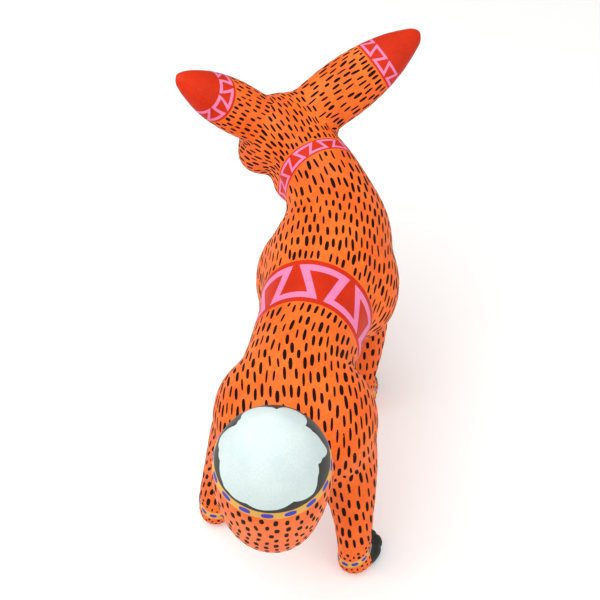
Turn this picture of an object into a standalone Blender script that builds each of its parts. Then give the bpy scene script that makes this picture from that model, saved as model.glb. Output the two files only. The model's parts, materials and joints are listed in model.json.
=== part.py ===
"""Painted wooden fox: a carved figure doweled together from separate pieces.

The fox stands on four paws and faces -Y, with +Z up.  The ears and the tail
pull out of round sockets on pegs and turn on them; everything else is glued.
"""

import math

import bmesh
import bpy
from mathutils import Matrix, Vector

MM = 0.001
# One drawn millimetre of the carving: it sizes the whole fox, and leaves pegs, dowels and gaps as they are
CARVED = 1.0 * MM

# One skin is built for the whole fox and then sawn into pieces, so that the
# surface runs on smoothly from piece to piece.
VOXEL = 2.3 * MM
SMOOTHING_PASSES = 13
SKIN_TRIANGLES = 8000
SIDES = 40
PATH_STEPS = 5

# Fits
GAP = 0.3 * MM
SOCKET_END_GAP = 0.6 * MM
PEG_BEVEL = 0.6 * MM
PEG_SIDES = 24
DOWEL_SIDES = 16
WELD_DISTANCE = 0.01 * MM
THINNEST_RADIUS = 0.05 * MM

# Torso: spine points (x, y, z) with the body's radius at each, in drawn mm
SPINE = (
    (8, 85, 94.5, 10),
    (8, 72, 95, 19),
    (6, 44, 97, 27),
    (-1, 12, 97, 28),
    (-7, -14, 97, 29.2),
    (-14, -48, 97.5, 34),
    (-19.5, -78, 103, 31.5),
    (-15, -100, 114.5, 24),
    (-4, -117, 124.5, 21),
    (6, -128, 129, 18),
)

# Legs: centreline points from the body down to the ankle, with radii, in drawn mm
HIND_LEG_LEFT = (
    (24, 42, 84, 19),
    (31, 42, 70, 15.5),
    (39, 41, 46, 11),
    (44.5, 40, 24, 9),
    (45.5, 40.5, 10, 9),
)
HIND_LEG_RIGHT = (
    (-17, 50, 84, 20),
    (-22, 55, 70, 17.5),
    (-26.5, 65, 45, 12.2),
    (-27.8, 71, 23, 9.4),
    (-28, 72, 10, 8.6),
)
FORE_LEG_LEFT = (
    (4, -60, 84, 17),
    (10, -61, 66, 13.5),
    (14, -62, 42, 10),
    (15, -62, 22, 8.2),
    (15, -61, 10, 8.2),
)
FORE_LEG_RIGHT = (
    (-32, -56, 84, 17),
    (-37, -52, 66, 13.5),
    (-38, -47, 42, 9.8),
    (-36.5, -44, 22, 7.8),
    (-36, -42, 10, 8.2),
)

# Hips, shoulders and throat, as centre and half sizes in drawn mm
HAUNCHES = (
    ((18.5, 46, 89), (25, 32, 29)),
    ((-12.5, 48, 89), (26.5, 32, 29)),
    ((1, -54, 88), (23.5, 33, 29)),
    ((-30.5, -50, 90), (24, 35, 29)),
    ((2, -112, 112), (14, 14, 14)),
)

# Each leg: its centreline and how far its paw turns outwards, in degrees
LEGS = {
    "leg_hind_left": (HIND_LEG_LEFT, 0),
    "leg_hind_right": (HIND_LEG_RIGHT, 38),
    "leg_front_left": (FORE_LEG_LEFT, 0),
    "leg_front_right": (FORE_LEG_RIGHT, 5),
}
LEG_SEAM_HEIGHT = 60 * CARVED
PAW_LENGTH = 13 * CARVED
PAW_WIDTH = 10.2 * CARVED
PAW_HEIGHT = 9.6 * CARVED
PAW_REACH = 8.3 * CARVED
PAW_CENTRE_HEIGHT = 6.6 * CARVED
HEEL_RADIUS = 9.6 * CARVED
HEEL_HEIGHT_SHARE = 0.8
GROUND_CUT = 12 * CARVED
GROUND_SIZE = (600 * CARVED, 600 * CARVED)
LEG_DOWEL_RADIUS = 3 * MM
LEG_DOWEL_LENGTH = 26 * MM

# Head: its centre, then how it turns to its left and tips to its right
HEAD_CENTRE = Vector((10, -130, 132)) * CARVED
HEAD_YAW = math.radians(22.6)
HEAD_ROLL = math.radians(9.5)
SKULL = Vector((25, 24, 22)) * CARVED
CHEEK_RADIUS = 14 * CARVED
CHEEK_SIDE = 11.5 * CARVED
CHEEK_DROP = 11 * CARVED
SNOUT = ((0, 10, -4, 17), (0, 26, -8, 12.5), (0, 38, -12.5, 9.2), (0, 47, -16, 6.6), (0, 50, -17, 4))
NECK_SEAM = Vector((-12, -103.5, 116)) * CARVED
NECK_AXIS = Vector((0.44, -0.9, 0.06)).normalized()
NECK_DOWEL_RADIUS = 5 * MM
NECK_DOWEL_LENGTH = 34 * MM

# Ears: a tapered leaf with a hollow front, as (distance along it, half width), in drawn mm
EAR_PROFILE = ((-4, 15), (12, 16.6), (28, 17), (44, 15.6), (58, 12.6), (68, 9), (75.5, 5.8), (79.5, 2.8))
EAR_THICKNESS_RATIO = 0.7
# Each ear: its side of the head, its splay, then its width and length against the profile
EARS = {"ear_left": (-1, 59.5, 0.92, 0.80), "ear_right": (1, 54.5, 1.03, 1.04)}
EAR_SIDE = 13 * CARVED
EAR_UP = 8.5 * CARVED
EAR_LEAN = 0.07
EAR_TWIST = math.radians(40)
EAR_SEAM = 17 * CARVED
EAR_HOLLOW = Vector((10, 6, 24)) * CARVED
EAR_HOLLOW_CENTRE = 45 * CARVED
EAR_HOLLOW_FORWARD = 12.5 * CARVED
EAR_PEG_RADIUS = 3.5 * MM
EAR_PEG_LENGTH = 24 * MM

# Tail: root to shoulder, as (x, y, z, radius) in drawn mm, then a dome past the shoulder
TAIL = (
    (8, 74, 95, 12),
    (8.5, 86, 94, 13),
    (9.5, 98, 94.5, 16),
    (11.3, 110, 101, 19.3),
    (12, 118, 115, 22.3),
    (12, 122.5, 131, 24.8),
    (11.5, 127.5, 150, 26.2),
)
TAIL_DOME_HEIGHT = 35 * CARVED
TAIL_LEAN_BACK = math.radians(19)
DOME_STEPS = 6
TAIL_SEAM = Vector((8.9, 91, 94.7)) * CARVED
TAIL_AXIS = Vector((0.07, 0.995, 0.04)).normalized()
TAIL_PEG_RADIUS = 6 * MM
TAIL_PEG_LENGTH = 36 * MM

EAR_SAW = (90 * CARVED, 90 * CARVED)
HEAD_SAW = (180 * CARVED, 180 * CARVED)
LEG_SAW = (56 * CARVED, 96 * CARVED)
TAIL_SAW = (200 * CARVED, 200 * CARVED)
SAW_LENGTH = 130 * CARVED

ORANGE = (0.95, 0.27, 0.045, 1)
BARE_WOOD = (0.72, 0.55, 0.36, 1)
PAINT_ROUGHNESS = 0.45
WOOD_ROUGHNESS = 0.7
CREASE_ANGLE = math.radians(40)


# ---- scene and mesh helpers ----

def clear_scene():
    for obj in list(bpy.data.objects):
        bpy.data.objects.remove(obj, do_unlink=True)


def new_collection(name):
    collection = bpy.data.collections.new(name)
    bpy.context.scene.collection.children.link(collection)
    return collection


def new_material(name, colour, roughness):
    material = bpy.data.materials.new(name)
    material.use_nodes = True
    shader = material.node_tree.nodes["Principled BSDF"]
    shader.inputs["Base Color"].default_value = colour
    shader.inputs["Roughness"].default_value = roughness
    shader.inputs["Metallic"].default_value = 0.0
    return material


def object_from_bmesh(name, bm, collection):
    mesh = bpy.data.meshes.new(name)
    bm.to_mesh(mesh)
    bm.free()
    obj = bpy.data.objects.new(name, mesh)
    collection.objects.link(obj)
    return obj


def frame_along(axis, side_hint=Vector((1, 0, 0))):
    """A rotation whose Z is the axis and whose X is close to the side hint."""
    z = axis.normalized()
    x = (side_hint - z * side_hint.dot(z)).normalized()
    y = z.cross(x)
    return Matrix((x, y, z)).transposed().to_4x4()


def evaluated_mesh(obj):
    """The object's mesh after its modifiers, with the object itself removed."""
    graph = bpy.context.evaluated_depsgraph_get()
    mesh = bpy.data.meshes.new_from_object(obj.evaluated_get(graph))
    mesh.transform(obj.matrix_world)
    bpy.data.objects.remove(obj, do_unlink=True)
    return mesh


# ---- soft volumes that are melted together into one skin ----

def smooth_path(points):
    """Points of a smooth curve (Catmull-Rom) through (x, y, z, radius) points in drawn mm."""
    rows = [Vector(p) * CARVED for p in points]
    rows = [rows[0] * 2 - rows[1]] + rows + [rows[-1] * 2 - rows[-2]]
    path = []
    for i in range(1, len(rows) - 2):
        a, b, c, d = rows[i - 1:i + 3]
        for step in range(PATH_STEPS):
            t = step / PATH_STEPS
            path.append(((b * 2) + (c - a) * t + (a * 2 - b * 5 + c * 4 - d) * t * t
                         + (b * 3 - a - c * 3 + d) * t ** 3) / 2)
    path.append(rows[-2])
    return path


def swept_mesh(path):
    """A round tube along (x, y, z, radius) points, made as a bevelled curve."""
    curve = bpy.data.curves.new("sweep", "CURVE")
    curve.dimensions = "3D"
    curve.bevel_depth = 1.0
    curve.bevel_resolution = SIDES // 4 - 1
    curve.use_fill_caps = True
    spline = curve.splines.new("POLY")
    spline.points.add(len(path) - 1)
    for point, row in zip(spline.points, path):
        point.co = (row[0], row[1], row[2], 1)
        point.radius = max(row[3], THINNEST_RADIUS)
    obj = bpy.data.objects.new("sweep", curve)
    bpy.context.scene.collection.objects.link(obj)
    bpy.context.view_layer.update()
    return evaluated_mesh(obj)


def add_sweep(bm, path, transform=Matrix()):
    mesh = swept_mesh(path)
    mesh.transform(transform)
    bm.from_mesh(mesh)
    bpy.data.meshes.remove(mesh)


def add_ellipsoid(bm, transform, semi_axes):
    bmesh.ops.create_uvsphere(bm, u_segments=SIDES, v_segments=SIDES // 2, radius=1,
                              matrix=transform @ Matrix.Diagonal((*semi_axes, 1)))


def head_matrix():
    """Head frame: X to the fox's right, Y forwards, Z up."""
    forward = Vector((math.sin(HEAD_YAW), -math.cos(HEAD_YAW), 0))
    level_right = forward.cross(Vector((0, 0, 1)))
    right = level_right * math.cos(HEAD_ROLL) - Vector((0, 0, math.sin(HEAD_ROLL)))
    up = right.cross(forward)
    turn = Matrix((right, forward, up)).transposed().to_4x4()
    return Matrix.Translation(HEAD_CENTRE) @ turn


def ear_matrix(name):
    """Ear frame: Z along the ear, Y out of its hollow."""
    side, splay_degrees, _, _ = EARS[name]
    splay = math.radians(splay_degrees)
    along = Vector((side * math.sin(splay), EAR_LEAN, math.cos(splay))).normalized()
    inward = Vector((-side * math.cos(splay), 0, math.sin(splay)))
    front = inward.cross(along) * side * math.cos(EAR_TWIST) - inward * math.sin(EAR_TWIST)
    across = front.cross(along).normalized()
    front = along.cross(across)
    turn = Matrix((across, front, along)).transposed().to_4x4()
    place = Matrix.Translation(Vector((side * EAR_SIDE, 0, EAR_UP)))
    return head_matrix() @ place @ turn


def paw_matrix(leg):
    """Paw frame at the ankle on the ground: Y towards the toes."""
    points, outward = LEGS[leg]
    side = 1 if leg.endswith("left") else -1
    ankle = Vector(points[-1][:3]) * CARVED
    turn = Matrix.Rotation(math.pi + side * math.radians(outward), 4, "Z")
    return Matrix.Translation((ankle.x, ankle.y, 0)) @ turn


def tail_path():
    ring = Vector(TAIL[-1]) * CARVED
    up = Vector((0, math.sin(TAIL_LEAN_BACK), math.cos(TAIL_LEAN_BACK)))
    path = smooth_path(TAIL)
    for step in range(1, DOME_STEPS + 1):
        angle = math.pi / 2 * step / DOME_STEPS
        centre = ring.to_3d() + up * TAIL_DOME_HEIGHT * math.sin(angle)
        path.append(Vector((*centre, ring.w * math.cos(angle))))
    return path


def add_legs(bm):
    for leg, (points, _) in LEGS.items():
        add_sweep(bm, smooth_path(points))
        paw = paw_matrix(leg)
        heel = Matrix.Translation((0, 0, HEEL_RADIUS * HEEL_HEIGHT_SHARE))
        add_ellipsoid(bm, paw @ heel, [HEEL_RADIUS] * 3)
        toes = Matrix.Translation((0, PAW_REACH, PAW_CENTRE_HEIGHT))
        add_ellipsoid(bm, paw @ toes, (PAW_WIDTH, PAW_LENGTH, PAW_HEIGHT))


def add_haunches(bm):
    for centre, half_sizes in HAUNCHES:
        add_ellipsoid(bm, Matrix.Translation(Vector(centre) * CARVED), Vector(half_sizes) * CARVED)


def add_head(bm):
    head = head_matrix()
    add_ellipsoid(bm, head, SKULL)
    for side in (-1, 1):
        cheek = Matrix.Translation((side * CHEEK_SIDE, 0, -CHEEK_DROP))
        add_ellipsoid(bm, head @ cheek, [CHEEK_RADIUS] * 3)
    add_sweep(bm, smooth_path(SNOUT), head)


def ear_mesh(name):
    """One ear, flattened front to back and hollowed in front."""
    _, _, width_scale, length_scale = EARS[name]
    bm = bmesh.new()
    rows = [(0, 0, along * length_scale, half_width * width_scale) for along, half_width in EAR_PROFILE]
    add_sweep(bm, smooth_path(rows), Matrix.Diagonal((1, EAR_THICKNESS_RATIO, 1, 1)))
    bmesh.ops.remove_doubles(bm, verts=bm.verts, dist=WELD_DISTANCE)
    ear = object_from_bmesh("ear_blank", bm, bpy.context.scene.collection)
    bm = bmesh.new()
    size = Matrix.Diagonal((width_scale, width_scale, length_scale, 1))
    place = Matrix.Translation((0, EAR_HOLLOW_FORWARD, EAR_HOLLOW_CENTRE))
    add_ellipsoid(bm, size @ place, EAR_HOLLOW)
    gouge = object_from_bmesh("ear_gouge", bm, bpy.context.scene.collection)
    cut(ear, gouge, "DIFFERENCE")
    mesh = evaluated_mesh(ear)
    bpy.data.objects.remove(gouge, do_unlink=True)
    mesh.transform(ear_matrix(name))
    return mesh


def cut(obj, cutter, operation):
    modifier = obj.modifiers.new(operation.lower(), "BOOLEAN")
    modifier.operation = operation
    modifier.solver = "EXACT"
    modifier.object = cutter
    bpy.context.view_layer.update()


def whole_fox(collection):
    """The whole fox as one smooth closed skin."""
    bm = bmesh.new()
    add_sweep(bm, smooth_path(SPINE))
    add_haunches(bm)
    add_legs(bm)
    add_head(bm)
    for ear in EARS:
        bm.from_mesh(ear_mesh(ear))
    add_sweep(bm, tail_path())
    bmesh.ops.remove_doubles(bm, verts=bm.verts, dist=WELD_DISTANCE)
    fox = object_from_bmesh("fox_skin", bm, collection)
    melt = fox.modifiers.new("melt", "REMESH")
    melt.mode = "VOXEL"
    melt.voxel_size = VOXEL
    soften = fox.modifiers.new("soften", "SMOOTH")
    soften.factor = 0.5
    soften.iterations = SMOOTHING_PASSES
    bpy.context.view_layer.update()
    mesh = evaluated_mesh(fox)
    mesh.calc_loop_triangles()
    fox = bpy.data.objects.new("fox_skin", mesh)
    collection.objects.link(fox)
    thin = fox.modifiers.new("thin", "DECIMATE")
    thin.ratio = SKIN_TRIANGLES / len(mesh.loop_triangles)
    bpy.context.view_layer.update()
    fox = bpy.data.objects.new("fox_skin", evaluated_mesh(fox))
    collection.objects.link(fox)
    return fox


# ---- sawing, drilling and pegs ----

def saw_block(name, seam, axis, width, length, collection, clearance=0.0):
    """A block that starts at the seam and runs along the axis."""
    bm = bmesh.new()
    size = Matrix.Diagonal((*width, length, 1))
    middle = Matrix.Translation((0, 0, length / 2 + clearance))
    bmesh.ops.create_cube(bm, size=1, matrix=Matrix.Translation(seam) @ frame_along(axis) @ middle @ size)
    return object_from_bmesh(name, bm, collection)


def rod(name, seam, axis, radius, length, collection, sides, bevel=0.0):
    """A round rod centred on the seam."""
    bm = bmesh.new()
    place = Matrix.Translation(seam) @ frame_along(axis)
    bmesh.ops.create_cone(bm, cap_ends=True, segments=sides, radius1=radius, radius2=radius,
                          depth=length, matrix=place)
    obj = object_from_bmesh(name, bm, collection)
    if bevel:
        soften = obj.modifiers.new("eased_ends", "BEVEL")
        soften.width = bevel
        soften.segments = 1
        soften.limit_method = "ANGLE"
    return obj


def piece_of(name, fox, operations, collection):
    """A copy of the skin after a list of (cutter, operation) cuts."""
    obj = bpy.data.objects.new(name, fox.data.copy())
    collection.objects.link(obj)
    for cutter, operation in operations:
        cut(obj, cutter, operation)
    piece = bpy.data.objects.new(name, evaluated_mesh(obj))
    collection.objects.link(piece)
    return piece


def joints_of_the_fox():
    """Every seam: the piece past it, its point, axis, saw width, rod radius, rod length, rod name."""
    seams = {}
    for leg, (points, _) in LEGS.items():
        above, below = leg_seam_segment(points)
        seam = leg_seam_point(points)
        axis = (below - above).normalized()
        seams[leg] = (seam, Vector((0, 0, -1)), LEG_SAW, LEG_DOWEL_RADIUS, LEG_DOWEL_LENGTH,
                      leg + "_dowel", axis)
    seams["head"] = (NECK_SEAM, NECK_AXIS, HEAD_SAW, NECK_DOWEL_RADIUS, NECK_DOWEL_LENGTH,
                     "neck_dowel", NECK_AXIS)
    for ear in EARS:
        frame = ear_matrix(ear)
        seam = frame @ Vector((0, 0, EAR_SEAM))
        axis = frame.to_3x3() @ Vector((0, 0, 1))
        seams[ear] = (seam, axis, EAR_SAW, EAR_PEG_RADIUS, EAR_PEG_LENGTH, ear + "_peg", axis)
    seams["tail"] = (TAIL_SEAM, TAIL_AXIS, TAIL_SAW, TAIL_PEG_RADIUS, TAIL_PEG_LENGTH, "tail_peg",
                     TAIL_AXIS)
    return seams


def leg_seam_segment(points):
    """The two centreline points above and below the seam's height."""
    rows = smooth_path(points)
    for above, below in zip(rows, rows[1:]):
        if above.z >= LEG_SEAM_HEIGHT >= below.z:
            return above.to_3d(), below.to_3d()
    return rows[0].to_3d(), rows[-1].to_3d()


def leg_seam_point(points):
    above, below = leg_seam_segment(points)
    share = (above.z - LEG_SEAM_HEIGHT) / (above.z - below.z)
    return above.lerp(below, share)


def build_pieces(fox, parts, cutters):
    seams = joints_of_the_fox()
    blocks = {}
    holes = {}
    for name, (seam, axis, width, radius, length, rod_name, rod_axis) in seams.items():
        blocks[name] = saw_block(name + "_saw", seam, axis, width, SAW_LENGTH, cutters)
        blocks[name + "_past"] = saw_block(name + "_past", seam, axis, width, SAW_LENGTH, cutters, GAP)
        moves = rod_name.endswith("_peg")
        sides = PEG_SIDES if moves else DOWEL_SIDES
        socket_length = length + 2 * SOCKET_END_GAP
        holes[name] = rod(name + "_hole", seam, rod_axis, radius + GAP, socket_length, cutters, sides)
        rod(rod_name, seam, rod_axis, radius, length, parts, sides, PEG_BEVEL if moves else 0.0)
    ground = saw_block("ground", Vector((0, 0, 0)), Vector((0, 0, -1)), GROUND_SIZE, GROUND_CUT, cutters)
    for name in seams:
        steps = [(blocks[name + "_past"], "INTERSECT"), (holes[name], "DIFFERENCE")]
        if name == "head":
            steps += [(blocks[ear], "DIFFERENCE") for ear in EARS]
            steps += [(holes[ear], "DIFFERENCE") for ear in EARS]
        if name in LEGS:
            steps.append((ground, "DIFFERENCE"))
        piece_of(name, fox, steps, parts)
    steps = [(blocks[name], "DIFFERENCE") for name in seams if name not in EARS]
    steps += [(holes[name], "DIFFERENCE") for name in seams if name not in EARS]
    piece_of("torso", fox, steps, parts)
    return seams


def hide_cutters(cutters):
    for obj in cutters.objects:
        obj.hide_render = True
        obj.display_type = "WIRE"


def stand_on_origin(parts):
    """Moves every piece so that the fox's box stands centred on the origin."""
    bpy.context.view_layer.update()
    corners = [v.co for obj in parts.objects for v in obj.data.vertices]
    low = [min(c[i] for c in corners) for i in range(3)]
    high = [max(c[i] for c in corners) for i in range(3)]
    shift = Vector((-(low[0] + high[0]) / 2, -(low[1] + high[1]) / 2, -low[2]))
    for obj in parts.objects:
        obj.data.transform(Matrix.Translation(shift))
    return shift


def put_origins_on_joints(parts, seams, shift):
    """A piece that moves keeps its origin at its seam, on its peg's axis."""
    for name in ("ear_left", "ear_right", "tail"):
        seam, rod_name = seams[name][0] + shift, seams[name][5]
        for obj in (parts.objects[name], parts.objects[rod_name]):
            obj.data.transform(Matrix.Translation(-seam))
            obj.location = seam


def finish_surfaces(parts):
    for obj in parts.objects:
        wooden_rod = obj.name.endswith("_dowel") or obj.name.endswith("_peg")
        colour = BARE_WOOD if wooden_rod else ORANGE
        roughness = WOOD_ROUGHNESS if wooden_rod else PAINT_ROUGHNESS
        obj.data.materials.clear()
        obj.data.materials.append(new_material(obj.name + "_finish", colour, roughness))
        obj.data.shade_smooth()
        obj.data.set_sharp_from_angle(angle=CREASE_ANGLE)


def main():
    clear_scene()
    parts = new_collection("painted_wooden_fox")
    cutters = new_collection("cutters")
    fox = whole_fox(cutters)
    seams = build_pieces(fox, parts, cutters)
    bpy.data.objects.remove(fox, do_unlink=True)
    shift = stand_on_origin(parts)
    put_origins_on_joints(parts, seams, shift)
    finish_surfaces(parts)
    hide_cutters(cutters)


main()
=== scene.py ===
import json
import math

import bpy
import bmesh
import numpy as np
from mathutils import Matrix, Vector
from mathutils.bvhtree import BVHTree

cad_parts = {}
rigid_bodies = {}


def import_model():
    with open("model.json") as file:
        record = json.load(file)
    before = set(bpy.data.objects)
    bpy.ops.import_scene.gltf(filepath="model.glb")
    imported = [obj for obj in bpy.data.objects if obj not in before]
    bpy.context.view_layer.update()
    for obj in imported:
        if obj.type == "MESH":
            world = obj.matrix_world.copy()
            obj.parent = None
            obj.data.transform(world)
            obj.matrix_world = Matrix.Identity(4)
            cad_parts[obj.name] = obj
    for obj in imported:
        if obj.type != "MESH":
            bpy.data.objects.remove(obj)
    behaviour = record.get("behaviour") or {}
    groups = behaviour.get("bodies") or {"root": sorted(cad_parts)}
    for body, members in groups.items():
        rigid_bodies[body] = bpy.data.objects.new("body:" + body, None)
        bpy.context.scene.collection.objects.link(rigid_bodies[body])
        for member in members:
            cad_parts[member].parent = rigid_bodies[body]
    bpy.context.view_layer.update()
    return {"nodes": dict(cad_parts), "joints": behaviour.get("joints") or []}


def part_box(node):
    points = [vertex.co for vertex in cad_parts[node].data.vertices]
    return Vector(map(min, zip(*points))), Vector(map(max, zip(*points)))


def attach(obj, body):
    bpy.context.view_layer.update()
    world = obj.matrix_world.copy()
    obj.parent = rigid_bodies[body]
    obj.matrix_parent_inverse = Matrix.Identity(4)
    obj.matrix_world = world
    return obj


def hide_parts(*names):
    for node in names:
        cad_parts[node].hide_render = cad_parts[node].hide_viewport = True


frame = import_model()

mm = 0.001
mergeDistance = 0.01 * mm
joints = {joint["name"]: joint for joint in frame["joints"]}
skinNodes = ["torso", "head", "tail", "ear_left", "ear_right",
             "leg_front_left", "leg_front_right", "leg_hind_left", "leg_hind_right"]
legNames = ["leg_front_left", "leg_front_right", "leg_hind_left", "leg_hind_right"]
bodyOf = {"tail": "tail", "ear_left": "ear_left", "ear_right": "ear_right"}   # the rest is the fox


# small tools

def deselectAll():
    for item in bpy.context.view_layer.objects:
        item.select_set(False)


def makeActive(item):
    deselectAll()
    item.select_set(True)
    bpy.context.view_layer.objects.active = item


def applyModifier(item, kind, **settings):
    modifier = item.modifiers.new(kind.title(), kind)
    for key, value in settings.items():
        setattr(modifier, key, value)
    makeActive(item)
    bpy.ops.object.modifier_apply(modifier=modifier.name)


def ownCopy(item, name):
    twin = bpy.data.objects.new(name, item.data.copy())
    bpy.context.scene.collection.objects.link(twin)
    return twin


def joined(items, name):
    makeActive(items[0])
    for item in items:
        item.select_set(True)
    bpy.ops.object.join()
    whole = bpy.context.view_layer.objects.active
    whole.name = name
    return whole


def sawn(item, point, normal, keep):
    # keep is 1 for the side that the normal points to, -1 for the other, 0 scores a line and keeps both
    makeActive(item)
    bpy.ops.object.mode_set(mode="EDIT")
    bpy.ops.mesh.select_all(action="SELECT")
    bpy.ops.mesh.bisect(plane_co=point, plane_no=normal, use_fill=keep != 0,
                        clear_inner=keep > 0, clear_outer=keep < 0, threshold=mergeDistance)
    bpy.ops.object.mode_set(mode="OBJECT")


def splitAt(item, seam, nameBelow, nameAbove, room=0):
    # room is what a loose piece leaves free, so that it turns without rubbing
    below = ownCopy(item, nameBelow)
    sawn(below, seam["point"], seam["normal"], -1)
    sawn(item, seam["point"] + seam["normal"] * room, seam["normal"], 1)
    item.name = nameAbove
    return below, item


def vertexArray(item):
    flat = np.empty(len(item.data.vertices) * 3)
    item.data.vertices.foreach_get("co", flat)
    return flat.reshape(-1, 3)


def unit(vector):
    return Vector(vector).normalized()


def toLinear(hexColour):
    channels = [int(hexColour[i:i + 2], 16) / 255 for i in (1, 3, 5)]
    return [c / 12.92 if c <= 0.04045 else ((c + 0.055) / 1.055) ** 2.4 for c in channels] + [1]


def addNode(tree, kind, inputs=None, **settings):
    node = tree.nodes.new(kind)
    for key, value in settings.items():
        setattr(node, key, value)
    for socket, value in (inputs or {}).items():
        if isinstance(value, bpy.types.NodeSocket):
            tree.links.new(value, node.inputs[socket])
        else:
            node.inputs[socket].default_value = value
    return node


# paints: craft acrylic brushed by hand over carved copal, satin, and streaked where the hairs ran

paints = {
    # the warm coat, in long strokes that leave the tone a little uneven
    "orangeAcrylic": dict(colour="#FA782A", deep="#EC5E1C", roughness=0.52, streak=(1, 0.3, 0.5)),
    # dense bands in two coats, with the hairs run round the body
    "redAcrylic": dict(colour="#D52F08", deep="#BD2504", roughness=0.5, streak=(1, 1, 0.3)),
    # flat, chalky ribbon, and an ochre that reads as gold without any metal in it
    "pinkAcrylic": dict(colour="#F08AB4", deep="#E178A6", roughness=0.5, streak=(1, 1, 1)),
    "ochreAcrylic": dict(colour="#E6B457", deep="#D69D42", roughness=0.48, streak=(1, 1, 1)),
    # single dabs of a loaded brush: even blue ovals, and thin brown strokes that dry nearly dull
    "blueAcrylic": dict(colour="#4344BE", deep="#3936A4", roughness=0.48, streak=(1, 1, 1)),
    "brownAcrylic": dict(colour="#24120A", deep="#140A05", roughness=0.7, streak=(1, 0.4, 1)),
    # soft blacks, which show the knife facets as faint highlights, and a cool white
    "blackAcrylic": dict(colour="#1D1F1E", deep="#141514", roughness=0.5, streak=(1, 0.5, 1)),
    "charcoalAcrylic": dict(colour="#3D3F39", deep="#31322D", roughness=0.5, streak=(1, 1, 1)),
    "whiteAcrylic": dict(colour="#D6E2DE", deep="#C4D4D4", roughness=0.45, streak=(1, 1, 1)),
    # glossier, so that the eye looks wet
    "eyeAcrylic": dict(colour="#F2EFE6", deep="#E4DFD2", roughness=0.3, streak=(1, 1, 1)),
}
edgeSoftness = 0.05 * mm
# how wide one mark of each pattern is; hairs and grain are drawn coarser than they are, so that they show
patternSize = dict(drift=18.2 * mm, hairs=0.667 * mm, facets=6.67 * mm, grain=1.11 * mm)


def paintNodes(tree, spec, place):
    # a slow drift of tone, and fine brush hairs laid along the piece
    drift = addNode(tree, "ShaderNodeTexNoise", {"Vector": place, "Detail": 3,
                                                 "Scale": 1 / patternSize["drift"]})
    brushed = addNode(tree, "ShaderNodeMapping", {"Vector": place, "Scale": spec["streak"]})
    hairs = addNode(tree, "ShaderNodeTexNoise", {"Vector": brushed.outputs[0], "Detail": 4,
                                                 "Scale": 1 / patternSize["hairs"]})
    both = addNode(tree, "ShaderNodeMath", {0: drift.outputs["Fac"], 1: hairs.outputs["Fac"]},
                   operation="ADD")
    tone = addNode(tree, "ShaderNodeMapRange", {"Value": both.outputs[0], "From Min": 0.75, "From Max": 1.3})
    colour = addNode(tree, "ShaderNodeMix", {0: tone.outputs[0]}, data_type="RGBA")
    colour.inputs[6].default_value = toLinear(spec["deep"])
    colour.inputs[7].default_value = toLinear(spec["colour"])
    return colour.outputs[2], hairs.outputs["Fac"]


def satinPaint(name):
    spec = paints[name]
    material = bpy.data.materials.new(name)
    material.use_nodes = True
    tree = material.node_tree
    shader = tree.nodes["Principled BSDF"]
    place = addNode(tree, "ShaderNodeTexCoord").outputs["Object"]
    colour, hairs = paintNodes(tree, spec, place)
    tree.links.new(colour, shader.inputs["Base Color"])
    gloss = addNode(tree, "ShaderNodeMapRange", {"Value": hairs, "To Min": spec["roughness"] - 0.07,
                                                 "To Max": spec["roughness"] + 0.1})
    tree.links.new(gloss.outputs[0], shader.inputs["Roughness"])
    # knife facets left in the wood under the paint, and the brush hairs over them
    facets = addNode(tree, "ShaderNodeTexVoronoi", {"Vector": place, "Scale": 1 / patternSize["facets"]},
                     feature="SMOOTH_F1")
    carved = addNode(tree, "ShaderNodeBump", {"Height": facets.outputs["Distance"], "Strength": 0.12,
                                              "Distance": 0.6 * mm})
    relief = addNode(tree, "ShaderNodeBump", {"Height": hairs, "Strength": 0.35, "Distance": 0.08 * mm,
                                              "Normal": carved.outputs[0]})
    tree.links.new(relief.outputs[0], shader.inputs["Normal"])
    shader.inputs["IOR"].default_value = 1.49                     # acrylic
    shader.inputs["Specular IOR Level"].default_value = 0.08 if name == "brownAcrylic" else 0.16
    return material


def copalWood():
    # bare sawn copal: pale and dry, with a fine straight grain
    material = bpy.data.materials.new("bareCopal")
    material.use_nodes = True
    tree = material.node_tree
    shader = tree.nodes["Principled BSDF"]
    place = addNode(tree, "ShaderNodeTexCoord").outputs["Object"]
    along = addNode(tree, "ShaderNodeMapping", {"Vector": place, "Scale": (1, 0.12, 1)})
    grain = addNode(tree, "ShaderNodeTexNoise", {"Vector": along.outputs[0], "Detail": 5,
                                                 "Scale": 1 / patternSize["grain"]})
    colour = addNode(tree, "ShaderNodeMix", {0: grain.outputs["Fac"]}, data_type="RGBA")
    colour.inputs[6].default_value = toLinear("#C9A676")
    colour.inputs[7].default_value = toLinear("#EBD5AC")
    tree.links.new(colour.outputs[2], shader.inputs["Base Color"])
    relief = addNode(tree, "ShaderNodeBump", {"Height": grain.outputs["Fac"], "Strength": 0.3,
                                              "Distance": 0.1 * mm})
    tree.links.new(relief.outputs[0], shader.inputs["Normal"])
    shader.inputs["Roughness"].default_value = 0.68
    return material


def tipPaint():
    # the tail tip: white inside a scalloped edge, charcoal outside it, from the distance kept in capEdge
    material = satinPaint("whiteAcrylic")
    material.name = "tailTipAcrylic"
    tree = material.node_tree
    shader = tree.nodes["Principled BSDF"]
    place = addNode(tree, "ShaderNodeTexCoord").outputs["Object"]
    charcoal, _ = paintNodes(tree, paints["charcoalAcrylic"], place)
    edge = addNode(tree, "ShaderNodeAttribute", attribute_name="capEdge")
    inside = addNode(tree, "ShaderNodeMapRange", {"Value": edge.outputs["Fac"], "From Min": -edgeSoftness,
                                                  "From Max": edgeSoftness})
    white = shader.inputs["Base Color"].links[0].from_socket
    colour = addNode(tree, "ShaderNodeMix", {0: inside.outputs[0], 6: charcoal, 7: white}, data_type="RGBA")
    tree.links.new(colour.outputs[2], shader.inputs["Base Color"])
    return material


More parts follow.
